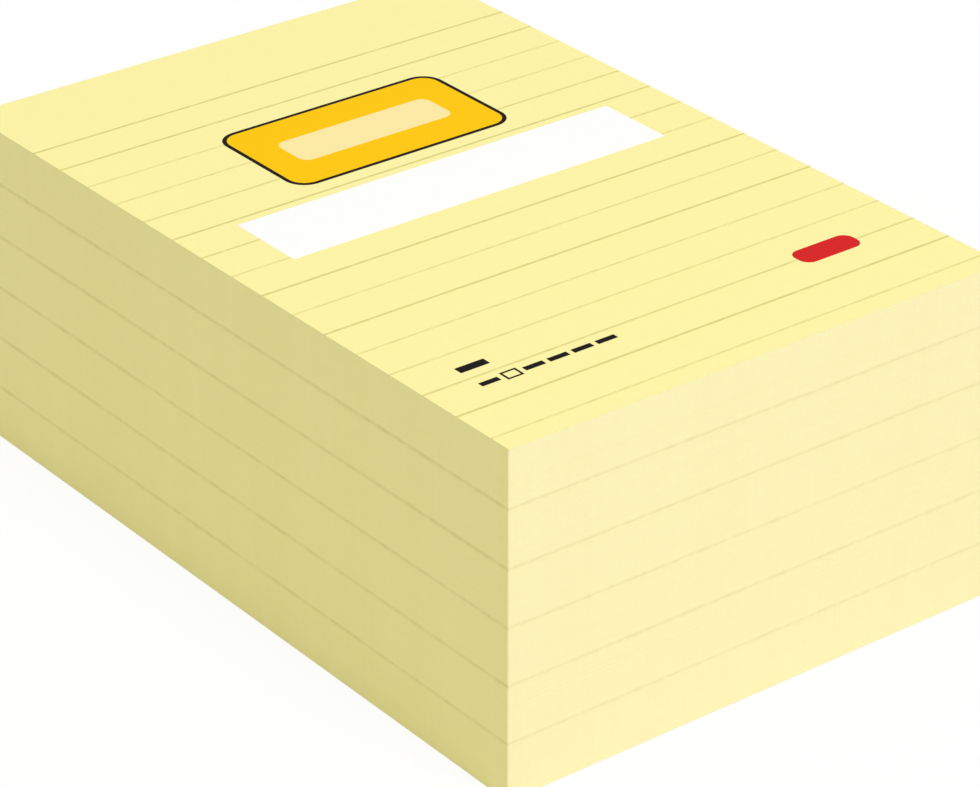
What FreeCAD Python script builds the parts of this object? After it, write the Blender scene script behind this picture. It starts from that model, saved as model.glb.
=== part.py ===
"""A block of ruled sticky notes, in millimetres.

Six equal pads are stacked flush. Each pad is a block of cut sheets over a thin backing sheet, which a
strip of glue near the header holds on. The printed top sheet of the highest pad carries ruled lines that
run from edge to edge, a white title panel and a few plain marks in the places of its label.

The origin is the centre of the face that the block stands on. +Z is up, +Y points to the header, the end
that the sheets are glued at, and +X is the reader's right. Each drop is measured from the header edge.
"""

import FreeCAD
import Part
import Sketcher

import os

# name of the cell, value, what it is
SIZES = [
    ("sheet_width", 101.0, "every sheet, from side to side"),
    ("sheet_length", 152.0, "every sheet, from header to foot"),
    ("corner_radius", 0.15, "the slightly dulled corner that the knife leaves"),
    ("pad_count", 6, "pads in the block"),
    ("sheets_per_pad", 100, "notes in one pad"),
    ("sheet_pitch", 0.103, "one sheet with its share of air and glue"),
    ("top_sheet_thickness", 0.1, "the printed sheet"),
    ("backing_thickness", 0.1, "the sheet that covers the last note's glue"),
    ("edge_drag", 0.1, "rounding of a pad's upper rim, where the knife enters"),
    ("glue_width", 19.0, "the strip of glue, measured along the sheet"),
    ("glue_thickness", 0.03, "the strip of glue"),
    ("glue_drop", 2.0, "from the header edge to the strip"),
    ("ink_thickness", 0.02, "every printed field"),
    ("rule_pitch", 8.47, "from one ruled line to the next, a third of an inch"),
    ("rule_width", 0.5, "thickness of a ruled line"),
    ("first_rule_drop", 20.8, "from the header edge to the first ruled line"),
    ("last_rule_margin", 3.0, "the least that stays clear between the last line and the foot"),
    ("panel_width", 78.0, "white title panel"),
    ("panel_height", 16.0, "white title panel"),
    ("panel_drop", 65.0, "from the header edge to the panel"),
    ("plaque_width", 46.0, "label plaque over the panel"),
    ("plaque_height", 25.5, "label plaque over the panel"),
    ("plaque_radius", 4.0, "outer corners of the plaque"),
    ("plaque_drop", 34.5, "from the header edge to the plaque"),
    ("keyline_width", 0.8, "dark line round the plaque"),
    ("window_width", 32.0, "pale window in the plaque"),
    ("window_height", 9.0, "pale window in the plaque"),
    ("window_radius", 2.0, "corners of the window"),
    ("mark_width", 12.6, "red mark near the foot"),
    ("mark_height", 4.9, "red mark near the foot"),
    ("mark_radius", 2.0, "corners of the red mark"),
    ("mark_inset", 12.7, "from the right edge to the red mark"),
    ("mark_rise", 18.85, "from the foot edge to the red mark"),
    ("margin_inset", 9.0, "from the left edge to the small marks"),
    ("title_dash_width", 5.6, "the upper, bolder dash"),
    ("title_dash_height", 1.8, "the upper, bolder dash"),
    ("title_dash_rise", 5.4, "from the foot of the row to the upper dash"),
    ("row_rise", 17.9, "from the foot edge to the row of small marks"),
    ("row_gap", 0.9, "between two marks of the row"),
    ("first_dash_width", 3.6, "the dash before the sheet outline"),
    ("dash_width", 3.85, "each dash after the sheet outline"),
    ("dash_height", 1.2, "every dash of the row"),
    ("dash_count", 4, "dashes after the sheet outline"),
    ("icon_width", 3.1, "small outline of a sheet"),
    ("icon_height", 2.5, "small outline of a sheet"),
    ("icon_line", 0.4, "line of that outline"),
]

doc = FreeCAD.newDocument("sticky_notes")
sizes = doc.addObject("Spreadsheet::Sheet", "sizes")
for row, (name, value, meaning) in enumerate(SIZES, start=1):
    sizes.set(f"A{row}", name)
    sizes.set(f"B{row}", str(value))
    sizes.set(f"C{row}", meaning)
    sizes.setAlias(f"B{row}", name)
doc.recompute()

# lengths that follow from the driving ones, written as expressions on the cells
NOTES_HEIGHT = "sizes.sheets_per_pad * sizes.sheet_pitch"
PAD_HEIGHT = f"({NOTES_HEIGHT} + sizes.backing_thickness)"
BLOCK_HEIGHT = f"sizes.pad_count * {PAD_HEIGHT}"
TOP_NOTES_HEIGHT = f"({NOTES_HEIGHT} - sizes.top_sheet_thickness)"
RULED_HEIGHT = "(sizes.sheet_length - sizes.first_rule_drop - sizes.last_rule_margin)"
RULE_GAPS = f"floor({RULED_HEIGHT} / sizes.rule_pitch)"
LEFT = "-sizes.sheet_width / 2"
HEADER = "sizes.sheet_length / 2"
FOOT = "-sizes.sheet_length / 2"


def solve(expression):
    """The number that an expression on the cells gives now."""
    return float(sizes.evalExpression(expression))


def new_body(name, base_height):
    """An empty body at a height above the ground, which an expression gives."""
    body = doc.addObject("PartDesign::Body", name)
    body.Label = name
    body.AllowCompound = True
    body.setExpression("Placement.Base.z", base_height)
    return body


def origin_feature(body, role):
    return next(feature for feature in body.Origin.OriginFeatures if feature.Role == role)


def new_sketch(body, name, height="0"):
    """A sketch on a body's own base plane, or at a height above it."""
    sketch = body.newObject("Sketcher::SketchObject", f"{body.Name}_{name}")
    sketch.AttachmentSupport = [(origin_feature(body, "XY_Plane"), "")]
    sketch.MapMode = "FlatFace"
    sketch.setExpression("AttachmentOffset.Base.z", height)
    return sketch


def bind(sketch, kind, name, refs, expression):
    """A named dimension of a sketch that an expression drives."""
    index = sketch.addConstraint(Sketcher.Constraint(kind, *refs, solve(expression)))
    sketch.renameConstraint(index, name)
    sketch.setExpression(f"Constraints.{name}", expression)


def add_outline(sketch, name, left, bottom, width, height, radius=None):
    """A closed rectangle, with round corners if it has a radius. All sizes are expressions."""
    x0, y0 = solve(left), solve(bottom)
    x1, y1 = x0 + solve(width), y0 + solve(height)
    r = solve(radius) if radius else 0.0
    ends = [
        ((x0 + r, y0), (x1 - r, y0)),
        ((x1, y0 + r), (x1, y1 - r)),
        ((x1 - r, y1), (x0 + r, y1)),
        ((x0, y1 - r), (x0, y0 + r)),
    ]
    sides = [
        sketch.addGeometry(Part.LineSegment(FreeCAD.Vector(*a, 0), FreeCAD.Vector(*b, 0)))
        for a, b in ends
    ]
    for side, direction in zip(sides, ["Horizontal", "Vertical"] * 2):
        sketch.addConstraint(Sketcher.Constraint(direction, side))
    if radius:
        add_round_corners(sketch, name, sides, (x0, y0, x1, y1), radius)
    else:
        for side, following in zip(sides, sides[1:] + sides[:1]):
            sketch.addConstraint(Sketcher.Constraint("Coincident", side, 2, following, 1))
    bottom_side, right_side, top_side, left_side = sides
    origin_point = (-1, 1)
    bind(sketch, "DistanceX", f"{name}_left", (*origin_point, left_side, 1), left)
    bind(sketch, "DistanceY", f"{name}_bottom", (*origin_point, bottom_side, 1), bottom)
    bind(sketch, "DistanceX", f"{name}_width", (left_side, 2, right_side, 1), width)
    bind(sketch, "DistanceY", f"{name}_height", (bottom_side, 2, top_side, 1), height)


def add_round_corners(sketch, name, sides, corners, radius):
    """A tangent quarter circle after each side of a rectangle, all of one radius."""
    x0, y0, x1, y1 = corners
    r = solve(radius)
    quarter = 1.5707963267948966
    centres = [(x1 - r, y0 + r), (x1 - r, y1 - r), (x0 + r, y1 - r), (x0 + r, y0 + r)]
    arcs = []
    for turn, centre in enumerate(centres):
        circle = Part.Circle(FreeCAD.Vector(*centre, 0), FreeCAD.Vector(0, 0, 1), r)
        start = (turn - 1) * quarter
        arcs.append(sketch.addGeometry(Part.ArcOfCircle(circle, start, start + quarter)))
    for side, arc, following in zip(sides, arcs, sides[1:] + sides[:1]):
        sketch.addConstraint(Sketcher.Constraint("Tangent", side, 2, arc, 1))
        sketch.addConstraint(Sketcher.Constraint("Tangent", arc, 2, following, 1))
    for arc in arcs[1:]:
        sketch.addConstraint(Sketcher.Constraint("Equal", arcs[0], arc))
    bind(sketch, "Radius", f"{name}_radius", (arcs[0],), radius)


def pad_up(body, sketch, thickness):
    """A sketch's outlines raised by a thickness."""
    feature = body.newObject("PartDesign::Pad", f"{body.Name}_raised")
    feature.Profile = sketch
    feature.setExpression("Length", thickness)
    sketch.Visibility = False
    doc.recompute()
    return feature


def sink(body, sketch, depth, upwards=False):
    """A sketch's outlines cut to a depth, downwards from the sketch or upwards into what lies over it."""
    volume_before = body.Shape.Volume
    feature = body.newObject("PartDesign::Pocket", f"{sketch.Name}_cut")
    feature.Profile = sketch
    feature.Reversed = upwards
    feature.setExpression("Length", depth)
    sketch.Visibility = False
    doc.recompute()
    if not body.Shape.Volume < volume_before:
        raise RuntimeError(f"{feature.Name} cut nothing")
    return feature


def add_sheet_outline(sketch):
    """The outline that every sheet in the block is cut to."""
    add_outline(sketch, "sheet", LEFT, FOOT, "sizes.sheet_width", "sizes.sheet_length",
                "sizes.corner_radius")


def add_glue_outline(sketch):
    """The strip of glue, which runs from side to side near the header."""
    bottom = f"{HEADER} - sizes.glue_drop - sizes.glue_width"
    add_outline(sketch, "glue", LEFT, bottom, "sizes.sheet_width", "sizes.glue_width")


def add_panel_outline(sketch):
    """The white title panel, centred between the sides."""
    bottom = f"{HEADER} - sizes.panel_drop - sizes.panel_height"
    add_outline(sketch, "panel", "-sizes.panel_width / 2", bottom, "sizes.panel_width",
                "sizes.panel_height")


def add_plaque_outline(sketch, name, inset="0"):
    """The label plaque, or the same outline drawn a step further in."""
    add_outline(
        sketch,
        name,
        f"-sizes.plaque_width / 2 + {inset}",
        f"{HEADER} - sizes.plaque_drop - sizes.plaque_height + {inset}",
        f"sizes.plaque_width - 2 * {inset}",
        f"sizes.plaque_height - 2 * {inset}",
        f"sizes.plaque_radius - {inset}",
    )


def add_window_outline(sketch):
    """The pale window in the middle of the plaque."""
    bottom = f"{HEADER} - sizes.plaque_drop - (sizes.plaque_height + sizes.window_height) / 2"
    add_outline(sketch, "window", "-sizes.window_width / 2", bottom, "sizes.window_width",
                "sizes.window_height", "sizes.window_radius")


def make_notes(number, base_height):
    """One pad's block of cut sheets, with a shallow seat for each strip of glue outside it."""
    is_top = number == 1
    height = TOP_NOTES_HEIGHT if is_top else NOTES_HEIGHT
    body = new_body(f"notes_{number}", base_height)
    outline = new_sketch(body, "outline")
    add_sheet_outline(outline)
    block = pad_up(body, outline, height)
    if is_top:
        upper_seat = new_sketch(body, "upper_seat", height)
        add_glue_outline(upper_seat)
        sink(body, upper_seat, "sizes.glue_thickness")
    else:
        round_upper_rim(body, block, solve(height))
    lower_seat = new_sketch(body, "lower_seat")
    add_glue_outline(lower_seat)
    sink(body, lower_seat, "sizes.glue_thickness", upwards=True)
    return body


def round_upper_rim(body, block, height):
    """The rim that the knife drags down as it enters the pile."""
    tolerance = 1e-6
    rim = [
        f"Edge{index}"
        for index, edge in enumerate(block.Shape.Edges, start=1)
        if all(abs(vertex.Z - height) < tolerance for vertex in edge.Vertexes)
    ]
    drag = body.newObject("PartDesign::Fillet", f"{body.Name}_edge_drag")
    drag.Base = (block, rim)
    drag.setExpression("Radius", "sizes.edge_drag")
    doc.recompute()
    return drag


def make_plate(name, base_height, thickness, *outlines):
    """A flat piece of one thickness, bounded by the outlines that the given functions draw."""
    body = new_body(name, base_height)
    sketch = new_sketch(body, "outline")
    for add in outlines:
        add(sketch)
    pad_up(body, sketch, thickness)
    return body


def make_ruled_lines():
    """The ruled lines of the top sheet, left out where another ink is printed."""
    body = new_body("ink_ruled_lines", BLOCK_HEIGHT)
    lowest = new_sketch(body, "last_line")
    rows_height = f"{RULE_GAPS} * sizes.rule_pitch"
    bottom = f"{HEADER} - sizes.first_rule_drop - {rows_height} - sizes.rule_width / 2"
    add_outline(lowest, "line", LEFT, bottom, "sizes.sheet_width", "sizes.rule_width")
    line = pad_up(body, lowest, "sizes.ink_thickness")
    rows = body.newObject("PartDesign::LinearPattern", f"{body.Name}_rows")
    rows.Originals = [line]
    rows.Direction = (origin_feature(body, "Y_Axis"), [""])
    rows.setExpression("Occurrences", f"{RULE_GAPS} + 1")
    rows.setExpression("Length", rows_height)
    body.Tip = rows
    doc.recompute()
    knockouts = new_sketch(body, "knockouts")
    for add in (add_panel_outline, add_outer_plaque, add_red_mark, add_title_dash, add_mark_row):
        add(knockouts)
    sink(body, knockouts, "sizes.ink_thickness", upwards=True)
    return body


def add_outer_plaque(sketch):
    add_plaque_outline(sketch, "plaque")


def add_inner_plaque(sketch):
    add_plaque_outline(sketch, "field", "sizes.keyline_width")


def add_red_mark(sketch):
    """A bar with round ends near the foot, on the right."""
    left = f"{LEFT} + sizes.sheet_width - sizes.mark_inset - sizes.mark_width"
    add_outline(sketch, "mark", left, f"{FOOT} + sizes.mark_rise", "sizes.mark_width",
                "sizes.mark_height", "sizes.mark_radius")


def add_title_dash(sketch):
    """The upper, bolder dash at the left margin."""
    bottom = f"{FOOT} + sizes.row_rise + sizes.title_dash_rise"
    add_outline(sketch, "title", f"{LEFT} + sizes.margin_inset", bottom,
                "sizes.title_dash_width", "sizes.title_dash_height")


def add_mark_row(sketch):
    """The row of small marks: a dash, the outline of a sheet, and more dashes."""
    bottom = f"{FOOT} + sizes.row_rise"
    left = f"{LEFT} + sizes.margin_inset"
    add_outline(sketch, "first_dash", left, bottom, "sizes.first_dash_width", "sizes.dash_height")
    left += " + sizes.first_dash_width + sizes.row_gap"
    middle = f"{bottom} + sizes.dash_height / 2"
    for name, inset in (("icon", "0"), ("icon_inside", "sizes.icon_line")):
        add_outline(
            sketch,
            name,
            f"{left} + {inset}",
            f"{middle} - sizes.icon_height / 2 + {inset}",
            f"sizes.icon_width - 2 * {inset}",
            f"sizes.icon_height - 2 * {inset}",
        )
    left += " + sizes.icon_width + sizes.row_gap"
    for place in range(int(solve("sizes.dash_count"))):
        add_outline(sketch, f"dash_{place}", f"{left} + {place} * (sizes.dash_width + sizes.row_gap)",
                    bottom, "sizes.dash_width", "sizes.dash_height")


def make_pads():
    """The pads from the top one down, each with its notes, its glue and its backing sheet."""
    pieces = []
    count = int(solve("sizes.pad_count"))
    for number in range(1, count + 1):
        base = f"{count - number} * {PAD_HEIGHT}"
        notes_base = f"{base} + sizes.backing_thickness"
        pieces.append(make_notes(number, notes_base))
        pieces.append(
            make_plate(f"glue_strip_{number}", notes_base, "sizes.glue_thickness", add_glue_outline)
        )
        pieces.append(
            make_plate(f"backing_sheet_{number}", base, "sizes.backing_thickness",
                       add_sheet_outline)
        )
    return pieces


def make_top_sheet():
    """The printed sheet and the strip of glue that holds it on the top pad."""
    under = f"{BLOCK_HEIGHT} - sizes.top_sheet_thickness"
    return [
        make_plate("top_sheet", under, "sizes.top_sheet_thickness", add_sheet_outline),
        make_plate("top_sheet_glue_strip", f"{under} - sizes.glue_thickness",
                   "sizes.glue_thickness", add_glue_outline),
    ]


def make_print():
    """The printed fields, one piece for each ink, side by side and never over each other."""
    film = "sizes.ink_thickness"
    return [
        make_ruled_lines(),
        make_plate("ink_white_panel", BLOCK_HEIGHT, film, add_panel_outline),
        make_plate("ink_amber_field", BLOCK_HEIGHT, film, add_inner_plaque, add_window_outline),
        make_plate("ink_cream_window", BLOCK_HEIGHT, film, add_window_outline),
        make_plate("ink_dark_marks", BLOCK_HEIGHT, film, add_outer_plaque, add_inner_plaque,
                   add_title_dash, add_mark_row),
        make_plate("ink_red_mark", BLOCK_HEIGHT, film, add_red_mark),
    ]


pieces = make_pads() + make_top_sheet() + make_print()
doc.recompute()

for feature in doc.Objects:
    if {"Invalid", "Error"} & set(feature.State):
        raise RuntimeError(f"{feature.Name} failed: {feature.State}")

os.makedirs("parts", exist_ok=True)
for piece in pieces:
    shape = piece.Shape
    if shape.isNull() or not shape.isValid() or not shape.Solids:
        raise RuntimeError(f"{piece.Label} has no valid solid")
    shape.exportStep(f"parts/{piece.Label}.step")
    box = shape.BoundBox
    print(f"{piece.Label}: {len(shape.Solids)} solids, {box.XLength:.2f} x {box.YLength:.2f} x "
          f"{box.ZLength:.3f} mm from z {box.ZMin:.3f}, {shape.Volume:.3f} mm3")
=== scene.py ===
# %% [markdown]
# # A block of ruled sticky notes
# The block is six equal pads, stacked flush. Each pad is a pile of thin yellow sheets that are held together
# by a strip of glue near the header, and a guillotine has cut all of them along the same four lines.
# The frame that is loaded here holds the pieces at their real size. This script gives them their finish, and
# cuts the sheets' edges, which are too fine for the frame.

import math

import bmesh
import bpy
from mathutils import Color, Matrix, Vector


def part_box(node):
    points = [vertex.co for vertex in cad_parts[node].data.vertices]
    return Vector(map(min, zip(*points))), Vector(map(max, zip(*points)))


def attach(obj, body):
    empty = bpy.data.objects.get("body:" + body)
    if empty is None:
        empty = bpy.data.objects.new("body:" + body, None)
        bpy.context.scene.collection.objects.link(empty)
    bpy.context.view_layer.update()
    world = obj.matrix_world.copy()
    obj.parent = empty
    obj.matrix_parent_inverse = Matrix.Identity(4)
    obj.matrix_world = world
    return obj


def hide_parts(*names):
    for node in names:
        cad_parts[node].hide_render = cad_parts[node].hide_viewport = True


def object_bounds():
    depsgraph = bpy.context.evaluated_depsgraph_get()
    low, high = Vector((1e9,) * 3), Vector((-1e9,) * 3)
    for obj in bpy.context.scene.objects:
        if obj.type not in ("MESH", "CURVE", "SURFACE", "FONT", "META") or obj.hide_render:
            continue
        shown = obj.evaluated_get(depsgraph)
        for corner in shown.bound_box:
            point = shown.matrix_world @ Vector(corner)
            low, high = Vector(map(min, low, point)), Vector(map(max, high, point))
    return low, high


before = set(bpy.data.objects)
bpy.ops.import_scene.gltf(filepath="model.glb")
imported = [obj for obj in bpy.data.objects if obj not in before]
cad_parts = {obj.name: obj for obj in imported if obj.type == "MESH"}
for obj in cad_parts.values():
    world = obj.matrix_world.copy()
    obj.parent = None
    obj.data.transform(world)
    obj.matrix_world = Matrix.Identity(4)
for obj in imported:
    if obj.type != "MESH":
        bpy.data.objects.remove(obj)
cad_low, cad_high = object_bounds()
MM = 0.001
print("the block measures", [round(side / MM, 2) for side in cad_high - cad_low], "mm")

# %% [markdown]
# ## Working with node trees
# Blender's node trees are drawn by hand as a rule. Written as code, the same tree is a list of nodes, each
# with its settings and with what is plugged into it. A few small helpers keep those lists short: one adds any
# node, some add a kind of node that comes up often, and one starts a group. Each helper returns what the
# next node plugs in.


# %% Helpers that add a node
def add_node(tree, kind, plugs=None, **settings):
    """A node with its properties set, and with a value or another node's output in each named socket."""
    node = tree.nodes.new(kind)
    for name, value in settings.items():
        setattr(node, name, value)
    for name, value in (plugs or {}).items():
        if isinstance(value, bpy.types.NodeSocket):
            tree.links.new(value, node.inputs[name])
        else:
            node.inputs[name].default_value = value
    return node


def calculate(tree, operation, *values):
    """The output of a Math node."""
    node = add_node(tree, "ShaderNodeMath", dict(enumerate(values)), operation=operation)
    return node.outputs[0]


def calculate_vector(tree, operation, *values, **plugs):
    """The vector that a Vector Math node puts out."""
    node = add_node(tree, "ShaderNodeVectorMath", dict(enumerate(values)) | plugs, operation=operation)
    return node.outputs["Vector"]


def combine(tree, **axes):
    """A vector from its X, Y and Z, each 0 if it isn't given."""
    return add_node(tree, "ShaderNodeCombineXYZ", axes).outputs["Vector"]


# %% [markdown]
# Noise comes up most: its value swings round a middle of one half, and so do the shades that are mixed from
# it. A group has to be told the type of each of its sockets.


# %% Helpers for noise, colours and groups
FLOAT, WHOLE, VECTOR = "NodeSocketFloat", "NodeSocketInt", "NodeSocketVector"
COLOUR, MATERIAL, GEOMETRY = "NodeSocketColor", "NodeSocketMaterial", "NodeSocketGeometry"
MIDDLE = 0.5


def add_noise(tree, place, per_m, layers=2.0, own_path=None):
    """The value of a noise, from 0 to 1 and mostly near the middle. A path of its own gives a new pattern."""
    plugs = {"Vector": place, "Scale": per_m, "Detail": layers}
    if own_path is None:
        noise = add_node(tree, "ShaderNodeTexNoise", plugs)
    else:
        noise = add_node(tree, "ShaderNodeTexNoise", plugs | {"W": own_path}, noise_dimensions="4D")
    return noise.outputs["Fac"]


def swing_of(tree, value):
    """How far a value lies above or below the middle."""
    return calculate(tree, "SUBTRACT", value, MIDDLE)


def mix_colours(tree, share, one, other, **settings):
    """A colour that goes from one to the other as the share goes from 0 to 1."""
    plugs = {"Factor": share, "A": one, "B": other}
    return add_node(tree, "ShaderNodeMix", plugs, data_type="RGBA", **settings).outputs["Result"]


def new_group(name, kind, inputs, outputs):
    """A group with its sockets, and what its inputs put out. inputs holds name: (socket type, value)."""
    group = bpy.data.node_groups.new(name, kind)
    for socket_name, (socket_type, value) in inputs.items():
        socket = group.interface.new_socket(socket_name, in_out="INPUT", socket_type=socket_type)
        if value is not None:
            socket.default_value = value
    for socket_name, socket_type in outputs.items():
        group.interface.new_socket(socket_name, in_out="OUTPUT", socket_type=socket_type)
    return group, add_node(group, "NodeGroupInput").outputs


# %% [markdown]
# ## Paper fibre
# Uncoated note paper isn't flat. Its fibres clump into clouds about a millimetre wide, and single fibres give
# it a fine tooth. A photograph of paper would show this too, but only at one size. Noise textures stay sharp
# at any distance, and a node group lets the sheets, the glue and the ink share them, each with its own
# colours. Every finish here puts out the same three things: a colour, a height for the relief, and a
# roughness.


# %% The paper fibre group
LOOK = {"Color": COLOUR, "Height": FLOAT, "Roughness": FLOAT}
CLOUDS_PER_M, TOOTH_PER_M = 700.0, 5200.0
CLOUD_LAYERS, TOOTH_LAYERS = 4.0, 3.0
TOOTH_SHARE, CLOUD_RELIEF = 0.35, 0.4
PAPER_ROUGHNESS, ROUGHNESS_SWING = 0.84, 0.12


def make_fibre_group():
    """The clouds and the tooth of uncoated paper, between a light and a dark colour."""
    inputs = {"Light": (COLOUR, None), "Dark": (COLOUR, None), "Cloudiness": (FLOAT, 1.0)}
    group, given = new_group("paper_fibre", "ShaderNodeTree", inputs, LOOK)
    place = add_node(group, "ShaderNodeTexCoord").outputs["Object"]
    clouds = add_noise(group, place, CLOUDS_PER_M, CLOUD_LAYERS)
    tooth = add_noise(group, place, TOOTH_PER_M, TOOTH_LAYERS)
    shade = calculate(group, "MULTIPLY_ADD", swing_of(group, clouds), given["Cloudiness"], MIDDLE)
    shade = calculate(group, "MULTIPLY_ADD", swing_of(group, tooth), TOOTH_SHARE, shade)
    add_node(group, "NodeGroupOutput", {
        "Color": mix_colours(group, shade, given["Dark"], given["Light"]),
        "Height": calculate(group, "MULTIPLY_ADD", clouds, CLOUD_RELIEF, tooth),
        "Roughness": calculate(group, "MULTIPLY_ADD", tooth, ROUGHNESS_SWING, PAPER_ROUGHNESS),
    })
    return group


fibre_group = make_fibre_group()
print("paper fibre group:", len(fibre_group.nodes), "nodes")

# %% [markdown]
# ## Ink on paper
# Ink doesn't lie on note paper as a closed film. It sinks in, and where a fibre stands up the ink is thin and
# the paper shows. So the ink group mixes two colours, ink and paper, by a mask of thin spots, and takes its
# relief from the fibre group, which is placed inside it. The print then has the same tooth as the sheet round
# it, and is only a little smoother.


# %% The ink group
INK_INPUTS = {"Ink": (COLOUR, None), "Paper": (COLOUR, None), "Paper Showing": (FLOAT, 0.1)}
THIN_SPOTS_PER_M, THIN_SPOT_LAYERS = 3400.0, 4.0
THIN_FROM, THIN_TO = 0.56, 0.74
INK_SMOOTHING = 0.12


def make_ink_group():
    """Ink that lets a little paper show where it lies thin."""
    group, given = new_group("ink_on_paper", "ShaderNodeTree", INK_INPUTS, LOOK)
    place = add_node(group, "ShaderNodeTexCoord").outputs["Object"]
    spots = add_noise(group, place, THIN_SPOTS_PER_M, THIN_SPOT_LAYERS)
    thin = add_node(group, "ShaderNodeMapRange",
                    {"Value": spots, "From Min": THIN_FROM, "From Max": THIN_TO},
                    interpolation_type="SMOOTHSTEP")
    share = calculate(group, "MULTIPLY", thin.outputs["Result"], given["Paper Showing"])
    fibre = add_node(group, "ShaderNodeGroup", node_tree=fibre_group).outputs
    add_node(group, "NodeGroupOutput", {
        "Color": mix_colours(group, share, given["Ink"], given["Paper"]),
        "Height": fibre["Height"],
        "Roughness": calculate(group, "SUBTRACT", fibre["Roughness"], INK_SMOOTHING),
    })
    return group


ink_group = make_ink_group()
print("ink group:", len(ink_group.nodes), "nodes")

# %% [markdown]
# The ruled lines get a group of their own round that one. A press doesn't feed each of its ruling wheels
# evenly, so some lines come out full, some weaker and some faint. The lines lie one pitch apart, so a point's
# distance from the first line, divided by the pitch and rounded, is its line's number, and the number says
# how much of the paper's colour goes into the ink. Two whole numbers count as equal when they lie less than
# half a step apart. The ink doesn't take evenly along a line either, so a noise adds to that share or takes
# from it.


# %% The ruled line group
FIRST_RULE_DROP, RULE_PITCH = 20.8 * MM, 8.47 * MM
WEAK_LINES, FAINT_LINES = (4, 6, 13), (2, 3, 7, 9, 11, 12, 15)
FULL_SHARE, WEAK_EXTRA, FAINT_EXTRA = 0.1, 0.2, 0.39
TAKE_PER_M, TAKE_SWING = 500.0, 0.8
HALF_A_STEP = 0.5


def make_ruled_line_group():
    """Ink whose strength differs from line to line and along each line."""
    group, given = new_group("ruled_line_ink", "ShaderNodeTree", INK_INPUTS, LOOK)
    place = add_node(group, "ShaderNodeTexCoord").outputs["Object"]
    along = add_node(group, "ShaderNodeSeparateXYZ", {"Vector": place}).outputs["Y"]
    from_first = calculate(group, "SUBTRACT", cad_high.y - FIRST_RULE_DROP, along)
    number = calculate(group, "ROUND", calculate(group, "DIVIDE", from_first, RULE_PITCH))
    take = add_noise(group, place, TAKE_PER_M)
    paper_share = calculate(group, "MULTIPLY_ADD", swing_of(group, take), TAKE_SWING, FULL_SHARE)
    for lines, extra in ((WEAK_LINES, WEAK_EXTRA), (FAINT_LINES, FAINT_EXTRA)):
        for line in lines:
            is_this_line = calculate(group, "COMPARE", number, float(line), HALF_A_STEP)
            paper_share = calculate(group, "MULTIPLY_ADD", is_this_line, extra, paper_share)
    printed = add_node(group, "ShaderNodeGroup", {
        "Ink": mix_colours(group, paper_share, given["Ink"], given["Paper"]),
        "Paper": given["Paper"],
        "Paper Showing": given["Paper Showing"],
    }, node_tree=ink_group).outputs
    add_node(group, "NodeGroupOutput", {name: printed[name] for name in LOOK})
    return group


ruled_line_group = make_ruled_line_group()
print("ruled line group:", len(ruled_line_group.nodes), "nodes")

# %% [markdown]
# ## The cut edge
# A guillotine blade comes straight down through a pile. Small nicks in it leave faint upright streaks from
# top to bottom, the same on every sheet. Each sheet has a tone of its own as well, which the mesh carries as
# an attribute named sheet_tone. Near each seam between pads the rims get painted shade, whose mask the mesh
# carries as a second attribute. The short end away from the header, which binders call the tail, faces the
# lamp, so it is painted paler than the long sides, as painted light, and its painted seam shade is weaker.
# The header end keeps the deeper yellow of the sides.
# The streaks are noise whose coordinates are squeezed along Z, so that each blob becomes a tall stripe.
# Another noise breaks the painted seam shade up along its length.


# %% The cut edge group
WIDE_STREAKS_PER_M, NARROW_STREAKS_PER_M, EDGE_GRAIN_PER_M = 210.0, 1500.0, 6000.0
STREAK_SQUEEZE = 0.03
WIDE_SHARE, NARROW_SHARE, TONE_SHARE, GRAIN_SHARE = 0.6, 0.5, 0.35, 0.3
STREAK_RELIEF = 2.0
# Painted shade at the seams between pads: the size of its noise, its share and how far it swings.
SEAM_SHADE_NOISE_PER_M, RIM_SHARE, SEAM_SHADE_SWING = 500.0, 0.66, 2.4
CUT_ROUGHNESS, CUT_ROUGHNESS_SWING = 0.82, 0.1
# The faces that look along -Y, the tail, face the lamp; their paler colours are painted light, and their
# painted seam shade is weaker.
FACES_THE_TAIL, LIT_TAIL_SHADE_SHARE = -0.6, 0.55
CUT_INPUTS = {name: (COLOUR, None) for name in ("Light", "Dark", "Tail Light", "Tail Dark", "Rim")}


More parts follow.
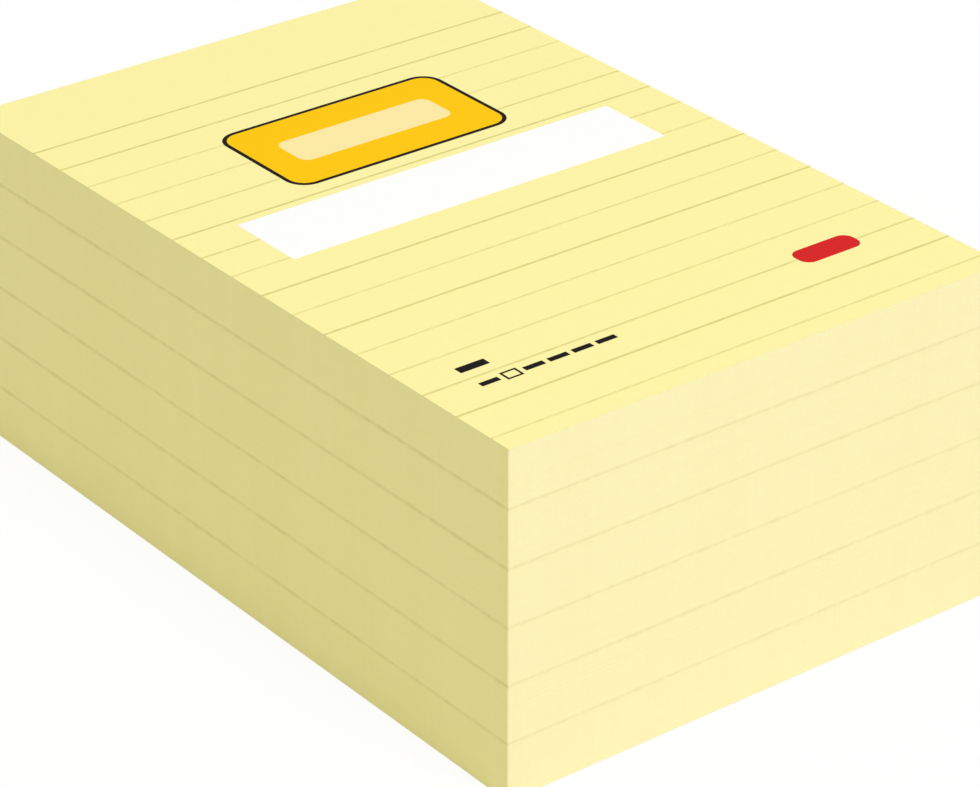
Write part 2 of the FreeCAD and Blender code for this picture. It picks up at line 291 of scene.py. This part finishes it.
def make_cut_edge_group():
    """The streaks and tones of a pile's cut edges, with painted seam shade and a tail painted paler as
    painted light.
    """
    group, given = new_group("cut_edge", "ShaderNodeTree", CUT_INPUTS, LOOK)
    place = add_node(group, "ShaderNodeTexCoord").outputs["Object"]
    squeezed = calculate_vector(group, "MULTIPLY", place, (1.0, 1.0, STREAK_SQUEEZE))
    wide = add_noise(group, squeezed, WIDE_STREAKS_PER_M)
    narrow = add_noise(group, squeezed, NARROW_STREAKS_PER_M)
    grain = add_noise(group, place, EDGE_GRAIN_PER_M)
    tone = add_node(group, "ShaderNodeAttribute", attribute_name="sheet_tone").outputs["Fac"]
    rim = add_node(group, "ShaderNodeAttribute", attribute_name="painted_seam_shade").outputs["Fac"]
    shade = MIDDLE
    parts = ((wide, WIDE_SHARE), (narrow, NARROW_SHARE), (tone, TONE_SHARE), (grain, GRAIN_SHARE))
    for source, share in parts:
        shade = calculate(group, "MULTIPLY_ADD", swing_of(group, source), share, shade)
    side = mix_colours(group, shade, given["Dark"], given["Light"])
    tail = mix_colours(group, shade, given["Tail Dark"], given["Tail Light"])
    normal = add_node(group, "ShaderNodeNewGeometry").outputs["Normal"]
    facing = add_node(group, "ShaderNodeSeparateXYZ", {"Vector": normal}).outputs["Y"]
    # Faces that look towards the tail face the lamp, and get paler colours as painted light.
    is_lit_tail = calculate(group, "LESS_THAN", facing, FACES_THE_TAIL)
    cut = mix_colours(group, is_lit_tail, side, tail)
    # Painted shade at the seams between pads, strongest at a rim, broken up by a noise and weaker on the lit
    # tail.
    marks = add_noise(group, place, SEAM_SHADE_NOISE_PER_M)
    uneven = calculate(group, "MULTIPLY_ADD", swing_of(group, marks), SEAM_SHADE_SWING, RIM_SHARE)
    painted_seam_share = calculate(group, "MULTIPLY", rim, uneven)
    tail_share = calculate(group, "MULTIPLY_ADD", is_lit_tail, LIT_TAIL_SHADE_SHARE - 1.0, 1.0)
    painted_seam_share = calculate(group, "MULTIPLY", painted_seam_share, tail_share)
    add_node(group, "NodeGroupOutput", {
        "Color": mix_colours(group, painted_seam_share, cut, given["Rim"], blend_type="MULTIPLY"),
        "Height": calculate(group, "MULTIPLY_ADD", narrow, STREAK_RELIEF, grain),
        "Roughness": calculate(group, "MULTIPLY_ADD", grain, CUT_ROUGHNESS_SWING, CUT_ROUGHNESS),
    })
    return group


cut_edge_group = make_cut_edge_group()
print("cut edge group:", len(cut_edge_group.nodes), "nodes")

# %% [markdown]
# ## Materials
# Every finish here is one group, one bump and one shader. The group gives what changes over the surface, and
# the shader itself stays in the material. Paper is matt, so its highlight is turned well down.
# Colours are written as they look on a screen, from 0 to 255. Shaders work with linear light, so each
# colour is converted once, by Blender's own Color, on its way into a socket.


# %% Materials
PAPER_SHINE = 0.1
TOOTH_DEPTH = 0.006 * MM
BRIGHTEST, OPAQUE = 255, 1.0


def linear(red, green, blue):
    """A screen colour as linear light, with full opacity."""
    screen = Color([channel / BRIGHTEST for channel in (red, green, blue)])
    return (*screen.from_srgb_to_scene_linear(), OPAQUE)


def make_material(name, group, **values):
    """A matt material that takes its colour, relief and roughness from a group with these values."""
    material = bpy.data.materials.new(name)
    material.use_nodes = True
    tree = material.node_tree
    tree.nodes.clear()
    plugs = {key.replace("_", " "): value for key, value in values.items()}
    look = add_node(tree, "ShaderNodeGroup", plugs, node_tree=group).outputs
    bump = add_node(tree, "ShaderNodeBump",
                    {"Height": look["Height"], "Distance": TOOTH_DEPTH, "Strength": 1.0})
    shader = add_node(tree, "ShaderNodeBsdfPrincipled", {
        "Base Color": look["Color"],
        "Roughness": look["Roughness"],
        "Normal": bump.outputs["Normal"],
        "Specular IOR Level": PAPER_SHINE,
    })
    add_node(tree, "ShaderNodeOutputMaterial", {"Surface": shader.outputs["BSDF"]})
    return material


print("a middle grey in linear light:", [round(value, 3) for value in linear(128, 128, 128)])

# %% [markdown]
# The printed sheet is the clearest yellow of the block. The cut edges are of the same paper and nearly as
# yellow, and the backing sheets are painted duller, as painted shade at the seams. The glue dries to a dull
# film.

# %% Paper and glue
SHEET_LIGHT, SHEET_DARK = linear(254, 245, 170), linear(252, 242, 165)
# The tint of the painted shade at the seams between pads.
PAINTED_SEAM_TINT = linear(241, 239, 234)

sheet_paper = make_material("note_sheet", fibre_group, Light=SHEET_LIGHT, Dark=SHEET_DARK)
cut_paper = make_material(
    "cut_note_edges", cut_edge_group, Rim=PAINTED_SEAM_TINT,
    Light=linear(254, 246, 170), Dark=linear(249, 240, 161),
    # The tail's paler colours are painted light from the lamp.
    Tail_Light=linear(253, 245, 191), Tail_Dark=linear(251, 241, 184),
)
# The backing sheets' duller colours are painted shade along the seams.
backing_paper = make_material(
    "backing_edges_painted_shade", cut_edge_group, Rim=PAINTED_SEAM_TINT,
    Light=linear(244, 235, 160), Dark=linear(238, 229, 154),
    # The tail's paler colours are painted light from the lamp.
    Tail_Light=linear(246, 238, 182), Tail_Dark=linear(240, 232, 175),
)
glue_film = make_material(
    "glue_film", fibre_group, Cloudiness=0.5,
    Light=linear(238, 229, 170), Dark=linear(230, 220, 160),
)
print("materials:", [material.name for material in (sheet_paper, cut_paper, backing_paper, glue_film)])

# %% [markdown]
# ## A block of cut sheets, as a rule
# Six hundred sheets are too many to draw one by one, and from outside only their edges show. So each pad is
# one closed skin. Going up it, every sheet adds three rings: one in the fine gap under it, and one each at
# the bottom and the top of its edge. Every ring repeats the sheet's outline, moved in by a little that
# differs from sheet to sheet, because no pile of paper is cut quite true.
# The first group answers one question for any point of the skin: how high it lies, and how far inside the
# outline. The height follows from the number of the ring.


# %% The rings of a sheet
RINGS_PER_SHEET = 3
GAP_SHARE = 0.18


def place_ring(group, given):
    """The sheet that a ring belongs to, the ring's number in it, and the height it lies at."""
    sheet = calculate(group, "FLOOR", calculate(group, "DIVIDE", given["Ring"], float(RINGS_PER_SHEET)))
    first_ring = calculate(group, "MULTIPLY", sheet, float(RINGS_PER_SHEET))
    ring = calculate(group, "SUBTRACT", given["Ring"], first_ring)
    share = add_node(group, "GeometryNodeIndexSwitch", data_type="FLOAT")
    share.index_switch_items.new()
    group.links.new(ring, share.inputs["Index"])
    for index, value in enumerate((0.0, GAP_SHARE, 1.0 - GAP_SHARE)):
        share.inputs[str(index)].default_value = value
    pitch = calculate(group, "DIVIDE", given["Height"], given["Sheets"])
    level = calculate(group, "MULTIPLY", calculate(group, "ADD", sheet, share.outputs[0]), pitch)
    return sheet, ring, level


# %% [markdown]
# A sheet's edge wanders slowly along its sides. A few stray sheets lie deeper, and so does the gap under each
# sheet.


# %% One sheet among others
STRAY_CHANCE = 0.04
WANDER_PER_M, WANDER_LAYERS = 26.0, 1.0
SHEET_STEP, SEED_STEP = 3.7, 11.3


def inset_sheet(group, given, sheet, ring):
    """How far inside the outline a ring lies, as one sheet among others."""
    from_seed = calculate(group, "MULTIPLY", given["Seed"], SEED_STEP)
    own_path = calculate(group, "MULTIPLY_ADD", sheet, SHEET_STEP, from_seed)
    wander = add_noise(group, given["Outline"], WANDER_PER_M, WANDER_LAYERS, own_path)
    draw = add_node(group, "FunctionNodeRandomValue", {"ID": sheet, "Seed": given["Seed"]},
                    data_type="FLOAT")
    is_stray = calculate(group, "LESS_THAN", draw.outputs["Value"], STRAY_CHANCE)
    in_gap = calculate(group, "LESS_THAN", ring, HALF_A_STEP)
    inset = calculate(group, "MULTIPLY", wander, given["Wander"])
    inset = calculate(group, "MULTIPLY_ADD", is_stray, given["Stray Depth"], inset)
    return calculate(group, "MULTIPLY_ADD", in_gap, given["Gap Depth"], inset)


# %% [markdown]
# Near a rim that the blade has dragged, the inset grows towards the rim, and how far up or down that reaches
# differs along the side.


# %% The sheet edge place group
DRAG_PER_M, LEAST_REACH, DRAG_CURVE = 45.0, 0.5, 2.0
SHEET_DEPTHS = {"Gap Depth": 0.008 * MM, "Wander": 0.012 * MM, "Stray Depth": 0.01 * MM}
BLOCK_SIZES = {
    "Height": (FLOAT, 10 * MM),
    "Sheets": (WHOLE, 100),
    "Top Drag": (FLOAT, 0.0),
    "Foot Drag": (FLOAT, 0.0),
    "Drag Reach": (FLOAT, 0.5 * MM),
    "Seed": (WHOLE, 0),
} | {name: (FLOAT, depth) for name, depth in SHEET_DEPTHS.items()}


def make_edge_place_group():
    """Where a point of the skin belongs: its level, its inset, its sheet, and how near it is to a rim."""
    inputs = BLOCK_SIZES | {"Ring": (FLOAT, 0.0), "Outline": (VECTOR, None)}
    outputs = {"Level": FLOAT, "Inset": FLOAT, "Sheet": WHOLE, "Painted Seam Shade": FLOAT}
    group, given = new_group("sheet_edge_place", "GeometryNodeTree", inputs, outputs)
    sheet, ring, level = place_ring(group, given)
    inset = inset_sheet(group, given, sheet, ring)
    uneven = add_noise(group, given["Outline"], DRAG_PER_M, own_path=given["Seed"])
    reach = calculate(group, "MULTIPLY", given["Drag Reach"], calculate(group, "ADD", uneven, LEAST_REACH))
    from_top = calculate(group, "SUBTRACT", given["Height"], level)
    # How near a point lies to a dragged rim is also kept as the mask of the painted shade at the seams.
    painted_seam_shade = 0.0
    for distance, drag in ((from_top, given["Top Drag"]), (level, given["Foot Drag"])):
        near = calculate(group, "SUBTRACT", 1.0, calculate(group, "DIVIDE", distance, reach))
        near = calculate(group, "MAXIMUM", near, 0.0)
        curve = calculate(group, "POWER", near, DRAG_CURVE)
        inset = calculate(group, "MULTIPLY_ADD", curve, drag, inset)
        is_dragged = calculate(group, "GREATER_THAN", drag, 0.0)
        painted_seam_shade = calculate(group, "MULTIPLY_ADD", near, is_dragged, painted_seam_shade)
    add_node(group, "NodeGroupOutput",
             {"Level": level, "Inset": inset, "Sheet": sheet, "Painted Seam Shade": painted_seam_shade})
    return group


edge_place_group = make_edge_place_group()
print("sheet edge place group:", len(edge_place_group.nodes), "nodes")

# %% [markdown]
# The second group grows the skin. A closed outline with cut corners is swept up a straight rail that has one
# point for each ring, which gives a tube with closed ends. The sweep only makes the faces: both curves
# capture what they know, the place on the outline and the number of the ring, and Set Position then puts
# every point where the first group says. This keeps the shape free of the sweep's own turns.


# %% The outline and the rail
CORNER_CUT = 0.15 * MM
SHEET_SIDES, SIDE_CUTS = 4, 4
POINTS_A_CORNER = 2
TOP_RING = 1.0


def draw_outline(group, given):
    """The sheet's outline as a closed curve, with small cut corners and a few points along each side."""
    square = add_node(group, "GeometryNodeCurvePrimitiveQuadrilateral",
                      {"Width": given["Width"], "Height": given["Length"]})
    cornered = add_node(group, "GeometryNodeFilletCurve", {
        "Curve": square.outputs["Curve"],
        "Radius": given["Corner Cut"],
        "Count": POINTS_A_CORNER - 1,
    }, mode="POLY")
    index = add_node(group, "GeometryNodeInputIndex").outputs["Index"]
    starts_a_side = calculate(group, "MODULO", index, float(POINTS_A_CORNER))
    cuts = calculate(group, "MULTIPLY", given["Side Cuts"], starts_a_side)
    plugs = {"Curve": cornered.outputs["Curve"], "Cuts": cuts}
    return add_node(group, "GeometryNodeSubdivideCurve", plugs).outputs["Curve"]


def draw_rail(group, given):
    """A straight line up the block, with one point for each ring of the skin."""
    line = add_node(group, "GeometryNodeCurvePrimitiveLine", {"End": combine(group, Z=given["Height"])})
    rings = calculate(group, "MULTIPLY_ADD", given["Sheets"], float(RINGS_PER_SHEET), TOP_RING)
    plugs = {"Curve": line.outputs["Curve"], "Count": rings}
    return add_node(group, "GeometryNodeResampleCurve", plugs, mode="COUNT").outputs["Curve"]


print("points on the outline:", SHEET_SIDES * (POINTS_A_CORNER + SIDE_CUTS))

# %% [markdown]
# An outline point moves straight in from its side. Which way that is follows from a core, the outline shrunk
# by the size of the cut corners: the way out runs from the core's nearest point to the point itself.
# Values that a later step or a material needs are carried along by the geometry.


# %% The way out, and values to carry along
def capture(group, geometry, kind, value):
    """A geometry that carries a value from here on, and the value as the later nodes see it."""
    node = add_node(group, "GeometryNodeCaptureAttribute")
    node.capture_items.new(kind, "Captured")
    group.links.new(geometry, node.inputs["Geometry"])
    group.links.new(value, node.inputs["Captured"])
    return node.outputs["Geometry"], node.outputs["Captured"]


def point_outwards(group, given, place):
    """The direction that leads straight out of the outline at a place on it."""
    size = combine(group, X=given["Width"], Y=given["Length"])
    half = calculate_vector(group, "SCALE", size, Scale=0.5)
    corner = combine(group, X=given["Corner Cut"], Y=given["Corner Cut"])
    core_high = calculate_vector(group, "SUBTRACT", half, corner)
    core_low = calculate_vector(group, "SUBTRACT", corner, half)
    not_past_high = calculate_vector(group, "MINIMUM", place, core_high)
    core = calculate_vector(group, "MAXIMUM", not_past_high, core_low)
    return calculate_vector(group, "NORMALIZE", calculate_vector(group, "SUBTRACT", place, core))


def store(group, geometry, name, value, domain):
    """The geometry with a value stored under a name that materials can read."""
    plugs = {"Geometry": geometry, "Name": name, "Value": value}
    node = add_node(group, "GeometryNodeStoreNamedAttribute", plugs, data_type="FLOAT", domain=domain)
    return node.outputs["Geometry"]


# %% [markdown]
# With these steps named, the tree itself reads as the making of a block: outline, rail, skin, places, the two
# attributes, flat shading, and the paper.


# %% The cut block group
def make_cut_block_group():
    """A closed pile of cut sheets in its paper, standing on its base."""
    inputs = BLOCK_SIZES | {
        "Width": (FLOAT, 100 * MM),
        "Length": (FLOAT, 150 * MM),
        "Base": (FLOAT, 0.0),
        "Corner Cut": (FLOAT, CORNER_CUT),
        "Side Cuts": (WHOLE, SIDE_CUTS),
        "Paper": (MATERIAL, None),
    }
    group, given = new_group("cut_block", "GeometryNodeTree", inputs, {"Geometry": GEOMETRY})
    position = add_node(group, "GeometryNodeInputPosition").outputs["Position"]
    index = add_node(group, "GeometryNodeInputIndex").outputs["Index"]
    outline, place = capture(group, draw_outline(group, given), "VECTOR", position)
    rail, ring = capture(group, draw_rail(group, given), "FLOAT", index)
    skin = add_node(group, "GeometryNodeCurveToMesh",
                    {"Curve": rail, "Profile Curve": outline, "Fill Caps": True})

    plugs = {name: given[name] for name in BLOCK_SIZES} | {"Ring": ring, "Outline": place}
    edge = add_node(group, "GeometryNodeGroup", plugs, node_tree=edge_place_group).outputs
    move_in = calculate_vector(group, "SCALE", point_outwards(group, given, place), Scale=edge["Inset"])
    lift = combine(group, Z=calculate(group, "ADD", given["Base"], edge["Level"]))
    flat_place = calculate_vector(group, "SUBTRACT", place, move_in)
    placed = add_node(group, "GeometryNodeSetPosition", {
        "Geometry": skin.outputs["Mesh"],
        "Position": calculate_vector(group, "ADD", flat_place, lift),
    })

    tone = add_node(group, "FunctionNodeRandomValue", {"ID": edge["Sheet"], "Seed": given["Seed"]},
                    data_type="FLOAT")
    toned = store(group, placed.outputs["Geometry"], "sheet_tone", tone.outputs["Value"], "FACE")
    rimmed = store(group, toned, "painted_seam_shade", edge["Painted Seam Shade"], "POINT")
    flat = add_node(group, "GeometryNodeSetShadeSmooth", {"Geometry": rimmed, "Shade Smooth": False})
    real = add_node(group, "GeometryNodeRealizeInstances", {"Geometry": flat.outputs["Geometry"]})
    papered = add_node(group, "GeometryNodeSetMaterial",
                       {"Geometry": real.outputs["Geometry"], "Material": given["Paper"]})
    add_node(group, "NodeGroupOutput", {"Geometry": papered.outputs["Geometry"]})
    return group


cut_block_group = make_cut_block_group()
print("cut block group:", len(cut_block_group.nodes), "nodes")

# %% [markdown]
# ## From tree to mesh
# A modifier runs the tree on an empty object. Its inputs are set by their identifiers, because names may
# repeat. The result is then copied out as a plain mesh, which keeps the attributes and the material, and the
# modifier goes. The skin has to be closed and face outwards, so both are measured.


# %% Grow a piece
def grow(name, group, **values):
    """A new object with the mesh that the tree makes from these inputs."""
    piece = bpy.data.objects.new(name, bpy.data.meshes.new(name))
    bpy.context.scene.collection.objects.link(piece)
    modifier = piece.modifiers.new("grow", "NODES")
    modifier.node_group = group
    wanted = {key.replace("_", " "): value for key, value in values.items()}
    for item in group.interface.items_tree:
        if item.in_out == "INPUT" and item.name in wanted:
            modifier[item.identifier] = wanted[item.name]
    graph = bpy.context.evaluated_depsgraph_get()
    grown = bpy.data.meshes.new_from_object(piece.evaluated_get(graph), preserve_all_data_layers=True,
                                            depsgraph=graph)
    piece.modifiers.remove(modifier)
    piece.data = grown
    grown.name = name
    return piece


# %% Check that it is closed
CM = 10 * MM


def check_closed(piece):
    """Turns an inside-out skin the right way, and says what it holds and whether it is closed."""
    shape = bmesh.new()
    shape.from_mesh(piece.data)
    volume = shape.calc_volume(signed=True)
    if volume < 0:
        bmesh.ops.reverse_faces(shape, faces=shape.faces)
        shape.to_mesh(piece.data)
    open_edges = sum(len(edge.link_faces) != 2 for edge in shape.edges)
    shape.free()
    faces = len(piece.data.polygons)
    print(piece.name, faces, "faces,", open_edges, "open edges,", round(abs(volume) / CM ** 3, 2), "cm3")


# %% [markdown]
# ## A flat map of the cut sides
# A finish that is worked out in three dimensions may be baked into pictures later, and for that each face
# needs a flat place of its own. The four sides are unrolled into four strips, one over the other, and each is
# stretched upwards, so that single sheets stay apart. A cut corner goes with the side next to it. The two
# flat faces lie hidden in the block or under it, so they share a thin strip at the top, side by side.


# %% Lay the sides out flat
STRIP_HEIGHT, STRIP_GAP, FLAT_STRIP_HEIGHT = 0.225, 0.01, 0.045
FLAT_FACE_LENGTH, LOWER_FACE_ACROSS = 0.4, 0.5
CORNERS_OF_A_SIDE_FACE = 4
LEANS_TO_A_LONG_SIDE = 1.5


def lay_out_sides(piece, low, high):
    """Adds the map that a bake uses, worked out from each face's direction and its points' places."""
    mesh = piece.data
    size = high - low
    flat_map = mesh.uv_layers.new(name="OFBake")
    for face in mesh.polygons:
        normal = face.normal
        is_long_side = abs(normal.x) * LEANS_TO_A_LONG_SIDE > abs(normal.y)
        looks_back = (normal.x if is_long_side else normal.y) < 0
        for loop in face.loop_indices:
            place = mesh.vertices[mesh.loops[loop].vertex_index].co - low
            if len(face.vertices) > CORNERS_OF_A_SIDE_FACE:
                strip = SHEET_SIDES
                across = place.y / size.y * FLAT_FACE_LENGTH
                across += LOWER_FACE_ACROSS if normal.z < 0 else 0.0
                rise = place.x / size.x * FLAT_STRIP_HEIGHT
            else:
                strip = 2 * looks_back + is_long_side
                across = (place.y if is_long_side else place.x) / size.y * (1 - 2 * STRIP_GAP)
                rise = place.z / size.z * STRIP_HEIGHT
            base = strip * (STRIP_HEIGHT + STRIP_GAP)
            flat_map.data[loop].uv = across + STRIP_GAP, base + rise + STRIP_GAP


map_height = SHEET_SIDES * (STRIP_HEIGHT + STRIP_GAP) + STRIP_GAP + FLAT_STRIP_HEIGHT
print("the flat map is", round(map_height, 3), "high, of 1")

# %% [markdown]
# ## The six pads
# The pads are alike in size, and differ only in their random draws, so each takes its sizes from its own node
# of the frame and its number as the seed. Where two pads meet, the blade has dragged their rims inward a
# little, and the narrow hollow that is left is the seam that shows. The highest pad has no such rim at its
# top, and the lowest has none at its foot. The backing sheet under each pad is one more sheet of the same
# kind, painted duller as painted shade along the seam.

# %% The pads and their backing sheets
PAD_COUNT = 6
SHEETS_IN_TOP_PAD, SHEETS_IN_PAD = 99, 100
DRAG, DRAG_REACH = 0.03 * MM, 0.55 * MM


def cut_pile(name, node, slot, **values):
    """A pile of cut sheets that takes the place of a node of the frame."""
    low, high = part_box(node)
    width, length, height = high - low
    pile = grow(name, cut_block_group, Width=width, Length=length, Base=low.z, Height=height,
                Drag_Reach=DRAG_REACH, **values)
    check_closed(pile)
    lay_out_sides(pile, low, high)
    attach(pile, "root")
    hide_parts(node)
    return pile


pieces = []
for number in range(1, PAD_COUNT + 1):
    is_top, is_lowest = number == 1, number == PAD_COUNT
    foot_drag = 0.0 if is_lowest else DRAG
    pieces.append(cut_pile(
        f"cut_notes_{number}", f"notes_{number}", "note_paper",
        Sheets=SHEETS_IN_TOP_PAD if is_top else SHEETS_IN_PAD,
        Top_Drag=0.0 if is_top else DRAG, Foot_Drag=foot_drag, Seed=number, Paper=cut_paper,
    ))
    pieces.append(cut_pile(
        f"cut_backing_{number}", f"backing_sheet_{number}", "backing_paper",
        Sheets=1, Top_Drag=0.0, Foot_Drag=foot_drag, Seed=number, Paper=backing_paper,
    ))

# %% [markdown]
# ## The printed sheet and the glue
# These pieces have their true shape in the frame already, so they keep it and only get their finish. Each ink
# field is a film of its own, with the sheet's paper behind it for the thin spots to show.

# %% Finishes for the frame's own pieces
INKS = {
    "ink_ruled_lines": linear(218, 208, 130),
    "ink_white_panel": linear(254, 254, 253),
    "ink_amber_field": linear(255, 200, 0),
    "ink_cream_window": linear(252, 234, 165),
    "ink_dark_marks": linear(9, 7, 5),
    "ink_red_mark": linear(214, 32, 34),
}
INK_PAPER_SHOWING = 0.02
finished = []


def finish_node(name, material):
    """Gives a node of the frame this material in place of its plain one."""
    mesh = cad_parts[name].data
    mesh.materials.clear()
    mesh.materials.append(material)
    finished.append(name)


finish_node("top_sheet", sheet_paper)
finish_node("top_sheet_glue_strip", glue_film)
for number in range(1, PAD_COUNT + 1):
    finish_node(f"glue_strip_{number}", glue_film)
for name, colour in INKS.items():
    group = ruled_line_group if name == "ink_ruled_lines" else ink_group
    ink = make_material(name, group, Ink=colour, Paper=SHEET_LIGHT, Paper_Showing=INK_PAPER_SHOWING)
    finish_node(name, ink)
print("finished nodes of the frame:", len(finished))

# %% [markdown]
# ## Floor and light
# The block stands on a plain pale floor. To the camera the floor is nearly white with a faint shadow, as in a
# product picture, while the light that it throws back on the block comes from a plain pale grey. Light Path
# tells these two kinds of ray apart. The world does the same: white to look at, and a soft even light for the
# block.


# %% One value for the light, another to look at
def choose_by_ray(tree, unseen, seen):
    """One value for the light on the block, and another for what the camera or a mirror sees."""
    path = add_node(tree, "ShaderNodeLightPath").outputs
    mirrored = calculate(tree, "MAXIMUM", path["Is Glossy Ray"], path["Is Transmission Ray"])
    is_seen = calculate(tree, "MAXIMUM", path["Is Camera Ray"], mirrored)
    plugs = {"Value": is_seen, "To Min": unseen, "To Max": seen}
    return add_node(tree, "ShaderNodeMapRange", plugs).outputs["Result"]


# %% The floor
WHITE = (1.0, 1.0, 1.0, 1.0)
FLOOR_SIDE = 8.0
FLOOR_GREY, FLOOR_SEEN, FLOOR_GLOW = 0.8, 1.0, 0.85

floor_shape = bmesh.new()
bmesh.ops.create_grid(floor_shape, x_segments=1, y_segments=1, size=FLOOR_SIDE / 2)
floor_mesh = bpy.data.meshes.new("floor")
floor_shape.to_mesh(floor_mesh)
floor_shape.free()
floor = bpy.data.objects.new("floor", floor_mesh)
bpy.context.scene.collection.objects.link(floor)

floor_paint = bpy.data.materials.new("floor_paint")
floor_paint.use_nodes = True
paint = floor_paint.node_tree
paint.nodes.clear()
grey = choose_by_ray(paint, FLOOR_GREY, FLOOR_SEEN)
matt = add_node(paint, "ShaderNodeBsdfDiffuse", {"Color": grey}).outputs["BSDF"]
glow = add_node(paint, "ShaderNodeEmission", {"Color": WHITE}).outputs["Emission"]
glow_share = choose_by_ray(paint, 0.0, FLOOR_GLOW)
mixed = add_node(paint, "ShaderNodeMixShader", {0: glow_share, 1: matt, 2: glow})
add_node(paint, "ShaderNodeOutputMaterial", {"Surface": mixed.outputs["Shader"]})
floor_mesh.materials.append(floor_paint)
print("floor", FLOOR_SIDE, "m wide")

# %% The world
AMBIENT = 0.562

world = bpy.data.worlds.new("studio")
world.use_nodes = True
bpy.context.scene.world = world
sky = world.node_tree
sky.nodes.clear()
strength = choose_by_ray(sky, AMBIENT, 1.0)
background = add_node(sky, "ShaderNodeBackground", {"Color": WHITE, "Strength": strength})
add_node(sky, "ShaderNodeOutputWorld", {"Surface": background.outputs["Background"]})
print("ambient light", AMBIENT)

# %% [markdown]
# The one lamp is a large square softbox, high up and in front of the block's short end. It lights the top and
# that end, and leaves the long side to the even light, so the three faces read apart. Its power follows from
# the level that it should give: a white surface that faces it then looks that bright.

# %% The softbox
KEY_FROM = Vector((0.0, -0.55, 0.835)).normalized()
KEY_DISTANCE, KEY_SIDE = 4.0, 2.2
KEY_LEVEL = 0.565

lamp = bpy.data.lights.new("softbox", "AREA")
lamp.shape = "SQUARE"
lamp.size = KEY_SIDE
lamp.energy = KEY_LEVEL * math.pi ** 2 * KEY_DISTANCE ** 2
softbox = bpy.data.objects.new("softbox", lamp)
facing = KEY_FROM.to_track_quat("Z", "Y").to_matrix().to_4x4()
softbox.matrix_world = Matrix.Translation(KEY_FROM * KEY_DISTANCE) @ facing
bpy.context.scene.collection.objects.link(softbox)
print("softbox", round(lamp.energy, 1), "W")

# %% [markdown]
# ## The camera
# The view is through a long lens from the front left, looking down on the block. Its place was found by
# fitting the block's edges and ruled lines: a turn, a height angle, and a small step sideways and up that
# puts the block low and off centre in the picture. A focal length is in millimetres, on a sensor 36 mm wide.

# %% The camera
AZIMUTH, ELEVATION = math.radians(-37.766), math.radians(28.217)
CAMERA_DISTANCE = 707.97 * MM
STEP_RIGHT, STEP_UP = 3.881 * MM, 20.189 * MM
FOCAL_LENGTH = 148.926

back = Vector((
    math.sin(AZIMUTH) * math.cos(ELEVATION),
    -math.cos(AZIMUTH) * math.cos(ELEVATION),
    math.sin(ELEVATION),
))
right = Vector((0, 0, 1)).cross(back).normalized()
up = back.cross(right)
eye = back * CAMERA_DISTANCE + right * STEP_RIGHT + up * STEP_UP

lens = bpy.data.cameras.new("view")
lens.lens = FOCAL_LENGTH
camera = bpy.data.objects.new("view", lens)
turn = Matrix((right, up, back)).transposed().to_4x4()
camera.matrix_world = Matrix.Translation(eye) @ turn
bpy.context.scene.collection.objects.link(camera)
bpy.context.scene.camera = camera
bpy.context.scene.view_settings.view_transform = "Standard"
print("camera at", [round(value / MM, 1) for value in eye], "mm")

# %% [markdown]
# ## Faces
# The finished model must fill the same box as the frame, whose size is printed at the start. Here the faces
# of the cut piles are counted.

# %% The faces of the cut piles
print("faces in all:", sum(len(piece.data.polygons) for piece in pieces))
